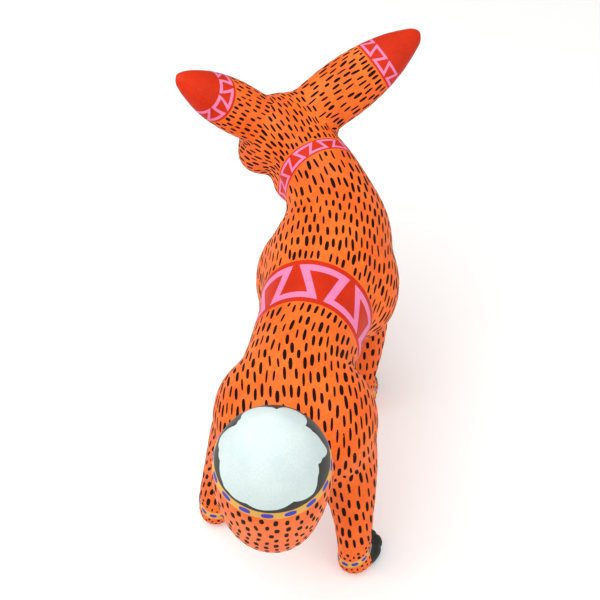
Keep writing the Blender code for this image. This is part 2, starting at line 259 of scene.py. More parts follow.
materials = {name: satinPaint(name) for name in paints if name not in ("charcoalAcrylic", "whiteAcrylic")}
materials["tailTipAcrylic"] = tipPaint()
materials["bareCopal"] = copalWood()
print("materials ready")

# camera, light and floor

studio = dict(target=(1.1 * mm, 10.7 * mm, 125 * mm), distance=0.65, elevation=44, lens=78,
              keyEnergy=13, keyPlace=(0.35, 0.25, 1.0), fillEnergy=4, fillPlace=(-0.9, 0.5, 0.6),
              lampSize=1.3, lampAim=(0, 0, 0.08), world=0.46, floorColour="#E7E7E5", floorGlow=0.22,
              floorSize=6, floorDrop=0.2 * mm)


def addCamera():
    tilt = math.radians(studio["elevation"])
    back = Vector((0, math.cos(tilt), math.sin(tilt)))
    camera = bpy.data.objects.new("camera", bpy.data.cameras.new("camera"))
    camera.location = Vector(studio["target"]) + back * studio["distance"]
    camera.rotation_euler = (-back).to_track_quat("-Z", "Y").to_euler()
    camera.data.lens = studio["lens"]
    camera.data.clip_start = 0.01
    bpy.context.scene.collection.objects.link(camera)
    bpy.context.scene.camera = camera


def addLamp(name, energy, place):
    lamp = bpy.data.objects.new(name, bpy.data.lights.new(name, "AREA"))
    lamp.data.energy = energy
    lamp.data.size = studio["lampSize"]
    lamp.location = place
    lamp.rotation_euler = (Vector(studio["lampAim"]) - Vector(place)).to_track_quat("-Z", "Y").to_euler()
    bpy.context.scene.collection.objects.link(lamp)


def addStage():
    deselectAll()
    bpy.ops.mesh.primitive_plane_add(size=studio["floorSize"], location=(0, 0, -studio["floorDrop"]))
    floor = bpy.context.view_layer.objects.active
    floor.name = "floor"
    paper = bpy.data.materials.new("studioPaper")
    paper.use_nodes = True
    shader = paper.node_tree.nodes["Principled BSDF"]
    shader.inputs["Base Color"].default_value = toLinear(studio["floorColour"])
    shader.inputs["Roughness"].default_value = 0.9
    # the paper is lit from below as well, which thins the shadow
    shader.inputs["Emission Color"].default_value = (1, 1, 1, 1)
    shader.inputs["Emission Strength"].default_value = studio["floorGlow"]
    floor.data.materials.append(paper)
    world = bpy.data.worlds.new("studioWorld")
    world.use_nodes = True
    sky = world.node_tree.nodes["Background"]
    sky.inputs["Color"].default_value = (1, 1, 1, 1)
    sky.inputs["Strength"].default_value = studio["world"]
    bpy.context.scene.world = world


addCamera()
addLamp("keyLamp", studio["keyEnergy"], studio["keyPlace"])
addLamp("fillLamp", studio["fillEnergy"], studio["fillPlace"])
addStage()
bpy.context.scene.view_settings.view_transform = "Standard"
print("camera, light and floor ready")

# the carved skin: one body of wood, then sawn where the real one is

skinSize = dict(voxel=1.0 * mm, passes=16, sawCut=0.3 * mm, slack=0.05 * mm, overlap=3, room=0.04 * mm)
neckSeam = dict(point=Vector((-10.905, -92.813, 116)) * mm, normal=unit((0.44, -0.9, 0.06)))
legSeamHeight = 60 * mm
sliceReach = 2.5 * mm
soleLevel = 4 * mm
toeGrooves = dict(start=2 * mm, ease=5 * mm, spacing=3.4 * mm, width=1.1 * mm, depth=1.2 * mm,
                  ankle=25 * mm, ceiling=55 * mm)


def seamOf(jointName):
    joint = joints[jointName]
    return dict(point=Vector(joint["pos_m"]), normal=unit(joint["axis"]))


seams = {name: seamOf(name + "_turn") for name in bodyOf}
seams["neck"] = neckSeam
seams["legs"] = dict(point=Vector((0, 0, legSeamHeight)), normal=Vector((0, 0, -1)))


def mergedCopy(node):
    # the part's own mesh is left alone: its copy is merged and loses its materials
    copy = ownCopy(frame["nodes"][node], node + "_wood")
    copy.data.materials.clear()
    makeActive(copy)
    bpy.ops.object.mode_set(mode="EDIT")
    bpy.ops.mesh.select_all(action="SELECT")
    bpy.ops.mesh.remove_doubles(threshold=mergeDistance)
    bpy.ops.object.mode_set(mode="OBJECT")
    return copy


def closeSeams(skin):
    # past each seam the wood starts a saw cut further on: the two faces are pushed through each other,
    # so that the remesh sees one solid
    places = vertexArray(skin)
    for seam in seams.values():
        normal = np.array(seam["normal"])
        height = (places - np.array(seam["point"])) @ normal
        near = (height > -skinSize["slack"]) & (height < skinSize["sawCut"] + skinSize["slack"])
        middle = skinSize["sawCut"] / 2
        places[near] -= ((1 + skinSize["overlap"]) * (height[near, None] - middle)) * normal
    skin.data.vertices.foreach_set("co", places.ravel())
    skin.data.update()


def keepLargestPart(item):
    # the remesh also skins the hollows of the dowel holes, which nobody sees
    mesh = bmesh.new()
    mesh.from_mesh(item.data)
    seen, parts = set(), []
    for start in mesh.verts:
        if start in seen:
            continue
        part, edge = [start], [start]
        seen.add(start)
        while edge:
            vertex = edge.pop()
            for link in vertex.link_edges:
                other = link.other_vert(vertex)
                if other not in seen:
                    seen.add(other)
                    part.append(other)
                    edge.append(other)
        parts.append(part)
    parts.sort(key=len)
    for part in parts[:-1]:
        bmesh.ops.delete(mesh, geom=part, context="VERTS")
    mesh.to_mesh(item.data)
    mesh.free()


def looseParts(item):
    makeActive(item)
    bpy.ops.object.mode_set(mode="EDIT")
    bpy.ops.mesh.select_all(action="SELECT")
    bpy.ops.mesh.separate(type="LOOSE")
    bpy.ops.object.mode_set(mode="OBJECT")
    return list(bpy.context.selected_objects)


def sliceMiddle(spots, axis, level):
    near = spots[np.abs(spots[:, axis] - level) < sliceReach]
    return Vector((near.min(0) + near.max(0)) / 2)


def boxMiddle(node):
    low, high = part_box(node)
    return (Vector(low) + Vector(high)) / 2


def carveToes(skin):
    # two knife grooves over the front of each paw
    spots = vertexArray(skin)
    normals = np.array([tuple(n.vector) for n in skin.data.vertex_normals])
    centres = {leg: np.array(boxMiddle(leg))[:2] for leg in legNames}
    low = spots[:, 2] < toeGrooves["ceiling"]
    for leg in legNames:
        apart = [np.linalg.norm(spots[:, :2] - centres[other], axis=1) for other in legNames]
        own = low & (np.argmin(apart, axis=0) == legNames.index(leg))
        ankle, sole = sliceMiddle(spots[own], 2, toeGrooves["ankle"]), sliceMiddle(spots[own], 2, soleLevel)
        forward = unit((sole.x - ankle.x, sole.y - ankle.y, 0))
        across = np.array(forward.cross(Vector((0, 0, 1))))
        offset = spots - np.array(sole)
        ahead = np.clip((offset @ np.array(forward) - toeGrooves["start"]) / toeGrooves["ease"], 0, 1)
        depth = np.zeros(len(spots))
        for side in (-1, 1):
            depth += np.exp(-((offset @ across - side * toeGrooves["spacing"]) / toeGrooves["width"]) ** 2)
        spots[own] -= (normals * (depth * ahead * toeGrooves["depth"])[:, None])[own]
    skin.data.vertices.foreach_set("co", spots.ravel())
    skin.data.update()


def carveSkin():
    skin = joined([mergedCopy(node) for node in skinNodes], "skin")
    closeSeams(skin)
    applyModifier(skin, "REMESH", mode="VOXEL", voxel_size=skinSize["voxel"], adaptivity=0)
    keepLargestPart(skin)
    applyModifier(skin, "SMOOTH", factor=0.5, iterations=skinSize["passes"])
    carveToes(skin)
    return skin


def sawSkin(skin):
    # every cut gives two closed pieces, and a loose one starts a hair's breadth past the cut
    pieces = {}
    upper, feet = splitAt(skin, seams["legs"], "upper", "feet")
    for part in looseParts(feet):
        middle = Vector(vertexArray(part).mean(0))
        name = min(legNames, key=lambda leg: (boxMiddle(leg) - middle).length)
        pieces[name] = part
    trunk, headEnd = splitAt(upper, neckSeam, "trunk", "headEnd")
    room = skinSize["room"]
    pieces["torso"], pieces["tail"] = splitAt(trunk, seams["tail"], "torso", "tail", room)
    rest, pieces["ear_left"] = splitAt(headEnd, seams["ear_left"], "rest", "ear_left", room)
    pieces["head"], pieces["ear_right"] = splitAt(rest, seams["ear_right"], "head", "ear_right", room)
    for name, piece in pieces.items():
        piece.name = name + "_carving"
    return pieces


# the loose pegs and the drilled sockets that they slide in: side and end are the room left round a peg
pegs = dict(ear_left=dict(radius=3.5 * mm, length=24 * mm), ear_right=dict(radius=3.5 * mm, length=24 * mm),
            tail=dict(radius=6 * mm, length=36 * mm))
socket = dict(side=0.3 * mm, end=0.6 * mm, vertices=48)
drilled = dict(torso=["tail"], tail=["tail"], head=["ear_left", "ear_right"], ear_left=["ear_left"],
               ear_right=["ear_right"])


def drill(item, seam, peg):
    deselectAll()
    turn = seam["normal"].to_track_quat("Z", "Y").to_euler()
    bpy.ops.mesh.primitive_cylinder_add(vertices=socket["vertices"], radius=peg["radius"] + socket["side"],
                                        depth=peg["length"] + 2 * socket["end"], location=seam["point"],
                                        rotation=turn)
    bit = bpy.context.view_layer.objects.active
    applyModifier(item, "BOOLEAN", operation="DIFFERENCE", object=bit, solver="EXACT")
    bpy.data.objects.remove(bit)


skin = carveSkin()
print("skin", len(skin.data.polygons), "faces")
carvings = sawSkin(ownCopy(skin, "skinCopy"))
places = {name: vertexArray(piece) for name, piece in carvings.items()}
for name, sockets in drilled.items():
    for peg in sockets:
        drill(carvings[name], seams[peg], pegs[peg])
skinTree = BVHTree.FromObject(skin, bpy.context.evaluated_depsgraph_get())
print("sawn into", len(carvings))

# where each colour ends, as planes that the faces and the brush strokes are tested against


def lineNear(middle, point, normal):
    # a painted edge: the plane through the point, with its own point moved to the middle of the body
    normal, point, middle = unit(normal), Vector(point) * mm, Vector(middle) * mm
    return dict(point=middle + normal * (point - middle).dot(normal), normal=normal)


waist = dict(rump=lineNear((-4, 14, 95), (-4.7, 14.2, 117.1), (0.19, 0.95, 0.23)),
             chest=lineNear((-7, -12, 95), (-8, -14.3, 118.1), (0.24, 0.96, 0.14)))
neckTop = lineNear((-7.4, -100, 116.5), (-1.4, -96.1, 135.6), (0.4, -0.906, 0.138))
earSlope = dict(ear_left=Vector((-0.37, 0.285, 0.135)), ear_right=Vector((0, 0, 0)))
earTip = dict(ear_left=17.2 * mm, ear_right=30.2 * mm)
cuff = dict(height=17.2 * mm, width=4.2 * mm, rise=0.42, ankleAbove=8 * mm, toeLine=2.8 * mm, toeLean=0.15)
tailRing = dict(point=Vector((12.6, 142.4, 161.7)) * mm, normal=unit((-0.03, 0.26, 0.965)), width=4.3 * mm)


def above(plane, distance):
    return dict(point=plane["point"] + plane["normal"] * distance, normal=plane["normal"])


def over(plane, spots):
    return (np.asarray(spots) - np.array(plane["point"])) @ np.array(plane["normal"])


def aboutAxis(plane, spots):
    # how far each spot is over the plane, and how far from the line that stands on it
    rise = over(plane, spots)
    flat = spots - np.array(plane["point"]) - rise[:, None] * np.array(plane["normal"])
    return rise, np.linalg.norm(flat, axis=1)


def footOf(leg):
    # the middle of the sole, and the planes of the cuff and the toe paint
    ankle = sliceMiddle(places[leg], 2, cuff["height"] + cuff["ankleAbove"])
    sole = sliceMiddle(places[leg], 2, soleLevel)
    forward = unit((sole.x - ankle.x, sole.y - ankle.y, 0))
    middle = Vector((ankle.x, ankle.y, cuff["height"]))
    top = dict(point=middle, normal=unit(Vector((0, 0, 1)) - forward * cuff["rise"]))
    toes = dict(point=Vector((sole.x, sole.y, 0)) + forward * cuff["toeLine"],
                normal=unit(forward + Vector((0, 0, cuff["toeLean"]))))
    return dict(sole=sole, top=top, low=above(top, -cuff["width"]), toes=toes)


feet = {leg: footOf(leg) for leg in legNames}
tailLow = above(tailRing, -tailRing["width"])
earLines = {name: dict(point=seams[name]["point"] + seams[name]["normal"] * reach,
                       normal=unit(seams[name]["normal"] + earSlope[name])) for name, reach in earTip.items()}

# the face, seen from the skull: forward runs to the nose, aside to the fox's right, crown up
noseTip = Vector(max(places["head"], key=lambda p: (Vector(p) - neckSeam["point"]).length))
skull = (seams["ear_left"]["point"] + seams["ear_right"]["point"]) / 2 - Vector((0, 0, 20 * mm))
forward = unit(noseTip - skull)
aside = unit(forward.cross(Vector((0, 0, 1))))
crown = aside.cross(forward)
eye = dict(ahead=12 * mm, up=1 * mm, toSide=0.8, toFront=0.5, toTop=0.35, length=11 * mm, width=7 * mm,
           coat=0.14 * mm, almond=0.45, tilt=0.25, clear=0.62)
nose = dict(length=9 * mm, width=8 * mm, height=6 * mm, sink=2.4 * mm, lift=1 * mm, clear=0.75)
mouth = dict(back=24 * mm, drop=3.6 * mm, width=1.2 * mm, marks=6, overlap=1.3,
             lift=0.05 * mm)


def eyeSpot(side):
    start = skull + forward * eye["ahead"] + crown * eye["up"]
    way = unit(aside * side * eye["toSide"] + forward * eye["toFront"] + crown * eye["toTop"])
    return skinTree.ray_cast(start, way)[0]


eyes = [eyeSpot(-1), eyeSpot(1)]


def onFace(spots):
    # where the eyes and the nose are, which the strokes leave free
    taken = np.linalg.norm(spots - np.array(noseTip), axis=1) < nose["length"] * nose["clear"]
    for spot in eyes:
        taken |= np.linalg.norm(spots - np.array(spot), axis=1) < eye["length"] * eye["clear"]
    return taken


def pieceAt(spots):
    # the name of the piece that each spot of the skin belongs to
    names = np.full(len(spots), "torso", dtype=object)
    names[over(seams["tail"], spots) > 0] = "tail"
    inFront = over(neckSeam, spots) > 0
    names[inFront] = "head"
    for ear in earTip:
        names[inFront & (over(seams[ear], spots) > 0)] = ear
    low = spots[:, 2] < legSeamHeight
    soles = np.array([feet[leg]["sole"] for leg in legNames])
    nearest = np.argmin(np.linalg.norm(spots[:, None, :2] - soles[None, :, :2], axis=2), axis=1)
    names[low] = np.array(legNames, dtype=object)[nearest[low]]
    return names


def paintAt(names, spots):
    # the paint on each spot, or "face" where the eyes and the nose go
    paint = np.full(len(spots), "orangeAcrylic", dtype=object)
    for name in set(names):
        here = names == name
        some = spots[here]
        look = np.full(len(some), "orangeAcrylic", dtype=object)
        if name == "torso":
            look[(over(waist["rump"], some) < 0) & (over(waist["chest"], some) > 0)] = "redAcrylic"
        elif name == "head":
            look[over(neckTop, some) < 0] = "redAcrylic"
            look[onFace(some)] = "face"
        elif name == "tail":
            look[over(tailLow, some) > 0] = "ochreAcrylic"
            look[over(tailRing, some) > 0] = "tailTipAcrylic"
        elif name in earTip:
            look[over(earLines[name], some) > 0] = "redAcrylic"
        else:
            foot = feet[name]
            look[(over(foot["low"], some) > 0) & (over(foot["top"], some) < 0)] = "ochreAcrylic"
            look[(over(foot["low"], some) < 0) & (over(foot["toes"], some) > 0)] = "blackAcrylic"
        paint[here] = look
    return paint


# colour zones: each edge is scored into the surface, then the faces take their paint

zoneLines = dict(torso=[waist["rump"], waist["chest"]], head=[neckTop], tail=[tailRing, tailLow],
                 ear_left=[earLines["ear_left"]], ear_right=[earLines["ear_right"]],
                 **{leg: [feet[leg]["top"], feet[leg]["low"], feet[leg]["toes"]] for leg in legNames})


zoneSlack = dict(square=0.999, seam=0.02 * mm, bore=0.05 * mm, crease=50)


def paintZones(name):
    piece = carvings[name]
    for line in zoneLines[name]:
        sawn(piece, line["point"], line["normal"], 0)
    count = len(piece.data.polygons)
    centres, normals = np.empty(count * 3), np.empty(count * 3)
    piece.data.polygons.foreach_get("center", centres)
    piece.data.polygons.foreach_get("normal", normals)
    centres, normals = centres.reshape(-1, 3), normals.reshape(-1, 3)
    paint = paintAt(np.full(count, name, dtype=object), centres)
    paint[paint == "face"] = "orangeAcrylic"
    for seam in seams.values():
        facing = np.abs(normals @ np.array(seam["normal"])) > zoneSlack["square"]
        paint[facing & (np.abs(over(seam, centres)) < skinSize["room"] + zoneSlack["seam"])] = "bareCopal"
    for peg in drilled.get(name, ()):
        rise, spread = aboutAxis(seams[peg], centres)
        bored = spread < pegs[peg]["radius"] + socket["side"] + zoneSlack["bore"]
        deep = pegs[peg]["length"] / 2 + socket["end"] + zoneSlack["bore"]
        paint[bored & (np.abs(rise) < deep)] = "bareCopal"
    used = sorted(set(paint), key=lambda n: (n != "orangeAcrylic", n))
    piece.data.materials.clear()
    for material in used:
        piece.data.materials.append(materials[material])
    piece.data.polygons.foreach_set("material_index", [used.index(p) for p in paint])
    makeActive(piece)
    bpy.ops.object.shade_smooth_by_angle(angle=math.radians(zoneSlack["crease"]))


for name in carvings:
    paintZones(name)
print("zones painted")

# the scalloped white of the tail tip, kept as a distance to its edge

# each point: degrees round the ring from its right-hand side, and how far from the crown to the ring
tipEdge = [(6, 0.88), (12, 0.76), (24, 0.6), (32, 0.51), (50, 0.73), (73, 0.69), (84, 0.51), (95, 0.6),
           (120, 0.78), (136, 0.61), (148, 0.58), (154, 0.8), (161, 0.89), (176, 0.82), (190, 0.81),
           (209, 0.92), (220, 0.95), (244, 0.93), (268, 0.95), (294, 0.87), (317, 0.94), (331, 0.8),
           (342, 0.7), (352, 0.75)]
tipBow = 0.02                # how far a scallop bows out between two points
tipArm = 26 * mm             # the radius of the dome, which turns an angle into a length


def markTip():
    tip = carvings["tail"]
    spots = vertexArray(tip)
    normal = tailRing["normal"]
    right = unit(Vector((-1, 0, 0)) - normal * -normal.x)
    ahead = normal.cross(right)
    offset = spots - np.array(tailRing["point"])
    rise = offset @ np.array(normal)
    x, y = offset @ np.array(right), offset @ np.array(ahead)
    turn = np.degrees(np.arctan2(y, x)) % 360
    flat = np.hypot(x, y)
    steep = np.degrees(np.arctan2(flat, np.maximum(rise, 0)))      # 0 at the crown, 90 at the ring
    angles = [tipEdge[-1][0] - 360] + [a for a, _ in tipEdge] + [tipEdge[0][0] + 360]
    reaches = [tipEdge[-1][1]] + [r for _, r in tipEdge] + [tipEdge[0][1]]
    reach = np.interp(turn, angles, reaches)
    spacing = np.interp(turn, angles, range(len(angles)))
    bulge = tipBow * np.sin(np.pi * (spacing % 1))
    edge = np.radians((reach + bulge) * 90 - steep) * tipArm
    layer = tip.data.attributes.new("capEdge", "FLOAT", "POINT")
    layer.data.foreach_set("value", edge)


markTip()

# the way the strokes lie: they follow the spine from nose to tail, and run down each leg

lie = dict(trunkReach=28 * mm, legReach=18 * mm, earReach=10 * mm, grip=4, nearest=2 * mm, steepest=0.3,
           aboveLegs=14 * mm, slices=12, rumpAhead=14 * mm, rumpDrop=50 * mm, hip=2.2,
           legLevels=(57, 45, 33, 21, 12, 4), tailLevels=(112, 130, 150, 175),
           earBelow=20 * mm, earAbove=70 * mm)


def guide(points, radius):
    return dict(points=np.array([tuple(p) for p in points]), radius=radius)


def bodyGuides():
    trunk = places["torso"][places["torso"][:, 2] > legSeamHeight + lie["aboveLegs"]]
    low, high = trunk[:, 1].min(), trunk[:, 1].max()
    count = lie["slices"]
    spine = [sliceMiddle(trunk, 1, low + (high - low) * k / count) for k in range(2, count - 1)]
    under = Vector((spine[-1].x, seams["tail"]["point"].y - lie["rumpAhead"], seams["tail"]["point"].z))
    # over the rump the coat turns down to the legs
    rump = [under, under - Vector((0, 0, lie["rumpDrop"]))]
    guides = [guide([noseTip, skull, neckSeam["point"]] + spine + rump, lie["trunkReach"])]
    for leg in legNames:
        steps = [sliceMiddle(places[leg], 2, z * mm) for z in lie["legLevels"]]
        hip = steps[0] + (steps[0] - steps[1]) * lie["hip"]
        guides.append(guide([hip] + steps, lie["legReach"]))
    return guides


trunkGuides = bodyGuides()
tailSteps = [sliceMiddle(places["tail"], 2, z * mm) for z in lie["tailLevels"]]
tailGuide = guide([seams["tail"]["point"]] + tailSteps, lie["trunkReach"])


def flowAt(spots, normals, guides):
    # each guide pulls the strokes its own way, and the nearest pulls by far the hardest
    total = np.zeros_like(spots)
    for way in guides:
        nodes = way["points"]
        runs = nodes[1:] - nodes[:-1]
        runs = runs / np.linalg.norm(runs, axis=1)[:, None]
        turns = np.vstack([runs[:1], (runs[1:] + runs[:-1]) / 2, runs[-1:]])
        best = np.full(len(spots), 1e9)
        tangent = np.zeros_like(spots)
        for k in range(len(nodes) - 1):
            leap = nodes[k + 1] - nodes[k]
            share = np.clip((spots - nodes[k]) @ leap / (leap @ leap), 0, 1)
            gap = np.linalg.norm(spots - nodes[k] - share[:, None] * leap, axis=1)
            closer = gap < best
            best[closer] = gap[closer]
            tangent[closer] = (turns[k] + share[:, None] * (turns[k + 1] - turns[k]))[closer]
        total += (way["radius"] / np.maximum(best, lie["nearest"]))[:, None] ** lie["grip"] * tangent
    # the brush is held square to the body, so a stroke that meets a slope doesn't swing sideways
    upright = normals * (0, 1, 1)
    square = np.maximum((upright * normals).sum(1), lie["steepest"])
    total -= ((total * normals).sum(1) / square)[:, None] * upright
    total -= (total * normals).sum(1)[:, None] * normals
    return total / np.maximum(np.linalg.norm(total, axis=1), 1e-9)[:, None]


# brush strokes: one stroke is modelled once, then laid on the skin again and again

# length, width, pitch along and pitch across, in millimetres
strokes = dict(torso=(7.1, 1.65, 9.4, 3.4), head=(4.8, 1.35, 6.4, 2.6), ear_left=(4.0, 1.25, 6.0, 2.5),
               ear_right=(5.6, 1.4, 7.2, 2.65), leg=(6.4, 1.8, 8.8, 3.5), ankle=(2.2, 1.4, 3.6, 3.0),
               paw=(1.8, 1.35, 2.9, 2.7), tail=(6.4, 1.5, 8.8, 3.5), tailDots=(5.2, 1.9, 6.8, 4.5))
earRoot = dict(ear_left=12 * mm, ear_right=10.5 * mm, reach=21 * mm)
changes = dict(tailDots=8 * mm, ankle=5 * mm)     # how far before an edge the next kind of stroke starts
placing = dict(seed=20, tries=90000, cell=11 * mm, crowd=0.86, lift=0.4 * mm, rounds=14, neighbours=260,
               wish=1.12, force=0.25, stride=0.8 * mm, backOff=0.5 * mm, clear=0.3 * mm)
brush = dict(shortest=0.82, longest=1.15, uneven=0.2, thinnest=0.7, widest=1.6, sway=0.06, margin=0.45 * mm,
             squattest=0.85)
rice = dict(sides=10, taper=0.94, square=0.6, crown=1.6)
relief = dict(under=-0.15 * mm, rim=0.05 * mm, crown=0.05 * mm)
coatCrease = math.radians(40)


def strokeBlank():
    # a rice grain of paint: a ten-sided outline, a raised rim and a low crown, closed underneath
    deselectAll()
    bpy.ops.mesh.primitive_circle_add(vertices=rice["sides"], radius=1, fill_type="NGON")
    blank = bpy.context.view_layer.objects.active
    bpy.ops.object.mode_set(mode="EDIT")
    bpy.ops.mesh.select_all(action="SELECT")
    bpy.ops.mesh.extrude_region_move(TRANSFORM_OT_translate={"value": (0, 0, 1)})
    bpy.ops.transform.resize(value=(rice["taper"], rice["taper"], 1))
    bpy.ops.mesh.poke()
    bpy.ops.object.mode_set(mode="OBJECT")
    for vertex in blank.data.vertices:
        vertex.co.y = math.copysign(abs(vertex.co.y) ** rice["square"], vertex.co.y)
        if vertex.co.xy.length < 0.01:
            vertex.co.z = rice["crown"]
    makeActive(blank)
    bpy.ops.object.mode_set(mode="EDIT")
    bpy.ops.mesh.select_all(action="SELECT")
    bpy.ops.mesh.normals_make_consistent(inside=False)
    bpy.ops.object.mode_set(mode="OBJECT")
    shape = vertexArray(blank)
    faces = [list(face.vertices) for face in blank.data.polygons]
    bpy.data.objects.remove(blank)
    return shape, faces


blankShape, blankFaces = strokeBlank()


def paintedItem(name, spots, faces, material):
    mesh = bpy.data.meshes.new(name)
    mesh.from_pydata(spots, [], faces)
    mesh.materials.append(materials[material])
    item = bpy.data.objects.new(name, mesh)
    bpy.context.scene.collection.objects.link(item)
    makeActive(item)
    return item


def layStrokes(name, marks, material, lift=0):
    # marks: (middle, way, length, width) each; every vertex is set down on the skin
    spots, faces = [], []
    for middle, way, length, width in marks:
        hit, normal, _, _ = skinTree.find_nearest(middle)
        way = (way - normal * way.dot(normal)).normalized()
        side = normal.cross(way)
        first = len(spots)
        for x, y, z in blankShape:
            flat = hit + way * (x * length / 2) + side * (y * width / 2)
            ground = skinTree.find_nearest(flat)[0]
            height = relief["under"]
            if z > 0.5:
                height = relief["rim"] + relief["crown"] * (z - 1) / (rice["crown"] - 1)
            spots.append(ground + normal * (height + lift))
        faces += [[first + k for k in face] for face in blankFaces]
    item = paintedItem(name, spots, faces, material)
    bpy.ops.object.shade_smooth_by_angle(angle=coatCrease)
    return item


def skinSamples(count, rng):
    # spots spread evenly over the skin, with their normals
    mesh = skin.data
    mesh.calc_loop_triangles()
    corners = np.empty(len(mesh.loop_triangles) * 3, dtype=np.int32)
    mesh.loop_triangles.foreach_get("vertices", corners)
    corners = vertexArray(skin)[corners].reshape(-1, 3, 3)
    cross = np.cross(corners[:, 1] - corners[:, 0], corners[:, 2] - corners[:, 0])
    area = np.linalg.norm(cross, axis=1)
    pick = rng.choice(len(area), size=count, p=area / area.sum())
    a, b = rng.random(count), rng.random(count)
    fold = a + b > 1
    a[fold], b[fold] = 1 - a[fold], 1 - b[fold]
    tri = corners[pick]
    spots = tri[:, 0] + a[:, None] * (tri[:, 1] - tri[:, 0]) + b[:, None] * (tri[:, 2] - tri[:, 0])
    return spots, cross[pick] / area[pick][:, None]


def byEar(ear, names, spots):
    # the coat of an ear runs on past its seam, down to the hollow where it meets the head
    rise, spread = aboutAxis(seams[ear], spots)
    root = (names == "head") & (rise > -earRoot[ear]) & (spread < earRoot["reach"])
    return (names == ear) | root


def strokeKinds(names, spots):
    kinds = np.array(["leg" if n in legNames else n for n in names], dtype=object)
    for ear in earTip:
        kinds[byEar(ear, names, spots)] = ear
    kinds[(names == "tail") & (spots[:, 1] > tailRing["point"].y - changes["tailDots"])] = "tailDots"
    for leg in legNames:
        here = names == leg
        fromCuff = over(feet[leg]["top"], spots)
        kinds[here & (fromCuff < changes["ankle"])] = "ankle"
        kinds[here & (fromCuff < 0)] = "paw"
    return kinds


def flowEverywhere(names, spots, normals):
    flow = flowAt(spots, normals, trunkGuides)
    for ear in earTip:
        here = byEar(ear, names, spots)
        axis = seams[ear]["normal"]
        root = seams[ear]["point"]
        own = [guide([root - axis * lie["earBelow"], root + axis * lie["earAbove"]], lie["earReach"])]
        if here.any():
            flow[here] = flowAt(spots[here], normals[here], own)
    here = names == "tail"
    if here.any():
        flow[here] = flowAt(spots[here], normals[here], [tailGuide])
    return flow


def sizesOf(kinds):
    return np.array([strokes[kind] for kind in kinds]) * mm


def nearCells(cell):
    steps = (-1, 0, 1)
    return [(cell[0] + i, cell[1] + j, cell[2] + k) for i in steps for j in steps for k in steps]


def scatterStrokes():
    # spots are tried at random, and one is kept if no kept one crowds it
    rng = np.random.default_rng(placing["seed"])
    spots, normals = skinSamples(placing["tries"], rng)
    names = pieceAt(spots)
    orange = (paintAt(names, spots) == "orangeAcrylic") & (spots[:, 2] > placing["lift"])
    spots, normals, names = spots[orange], normals[orange], names[orange]
    flow = flowEverywhere(names, spots, normals)
    sizes = sizesOf(strokeKinds(names, spots))
    cells, kept = {}, []
    for k in range(len(spots)):
        cell = tuple((spots[k] // placing["cell"]).astype(int))
        along, across = sizes[k, 2], sizes[k, 3]
        rivals = [m for c in nearCells(cell) for m in cells.get(c, ())]
        if rivals:
            gap = spots[rivals] - spots[k]
            forth = gap @ flow[k]
            side = np.linalg.norm(gap - forth[:, None] * flow[k], axis=1)
            if (np.hypot(forth / along, side / across) < placing["crowd"]).any():
                continue
        cells.setdefault(cell, []).append(k)
        kept.append(k)
    return spots[kept], normals[kept], rng


def onSkin(spots):
    found = [skinTree.find_nearest(Vector(p))[:2] for p in spots]
    return np.array([tuple(f[0]) for f in found]), np.array([tuple(f[1]) for f in found])


def staysIn(names, tips):
    # whether each tip is still on orange, on the same body, and off the ground
    tipNames = pieceAt(tips)
    sameBody = np.array([bodyOf.get(a, "fox") == bodyOf.get(b, "fox") for a, b in zip(names, tipNames)])
    return (paintAt(tipNames, tips) == "orangeAcrylic") & sameBody & (tips[:, 2] > placing["clear"])


def relaxStrokes(spots, normals):
    # neighbours push each other apart, further along the hair than across it, which staggers the rows
    for turn in range(placing["rounds"]):
        names = pieceAt(spots)
        flow = flowEverywhere(names, spots, normals)
        sizes = sizesOf(strokeKinds(names, spots))
        side = np.cross(normals, flow)
        order = np.argsort(spots[:, 1])
        push = np.zeros_like(spots)
        for shift in range(1, placing["neighbours"]):
            a, b = order[:-shift], order[shift:]
            gap = spots[b] - spots[a]
            if (np.abs(gap[:, 1]) > placing["cell"]).all():
                break
            along, across = sizes[a, 2], sizes[a, 3]
            forth = (gap * flow[a]).sum(1) / along
            sideways = (gap * side[a]).sum(1) / across
            away = np.sqrt(forth ** 2 + sideways ** 2 + ((gap * normals[a]).sum(1) / across) ** 2)
            force = np.maximum(placing["wish"] - away, 0) * placing["force"] / np.maximum(away, 0.05)
            move = (force * forth * along)[:, None] * flow[a]
            move += (force * sideways * across)[:, None] * side[a]
            np.add.at(push, b, move)
            np.add.at(push, a, -move)
        for end in (-1, 1):
            # a stroke whose end would cross an edge of the colour or a seam backs off
            tips, _ = onSkin(spots + end * flow * (sizes[:, :1] * 0.45 + placing["backOff"]))
            out = ~staysIn(names, tips)
            push[out] -= end * placing["backOff"] * flow[out]
        length = np.linalg.norm(push, axis=1)
        push *= np.minimum(1, placing["stride"] / np.maximum(length, 1e-9))[:, None]
        spots, normals = onSkin(spots + push)
    return spots, normals


strokeSpots, strokeNormals, strokeRandom = scatterStrokes()
strokeSpots, strokeNormals = relaxStrokes(strokeSpots, strokeNormals)
print("strokes placed", len(strokeSpots))


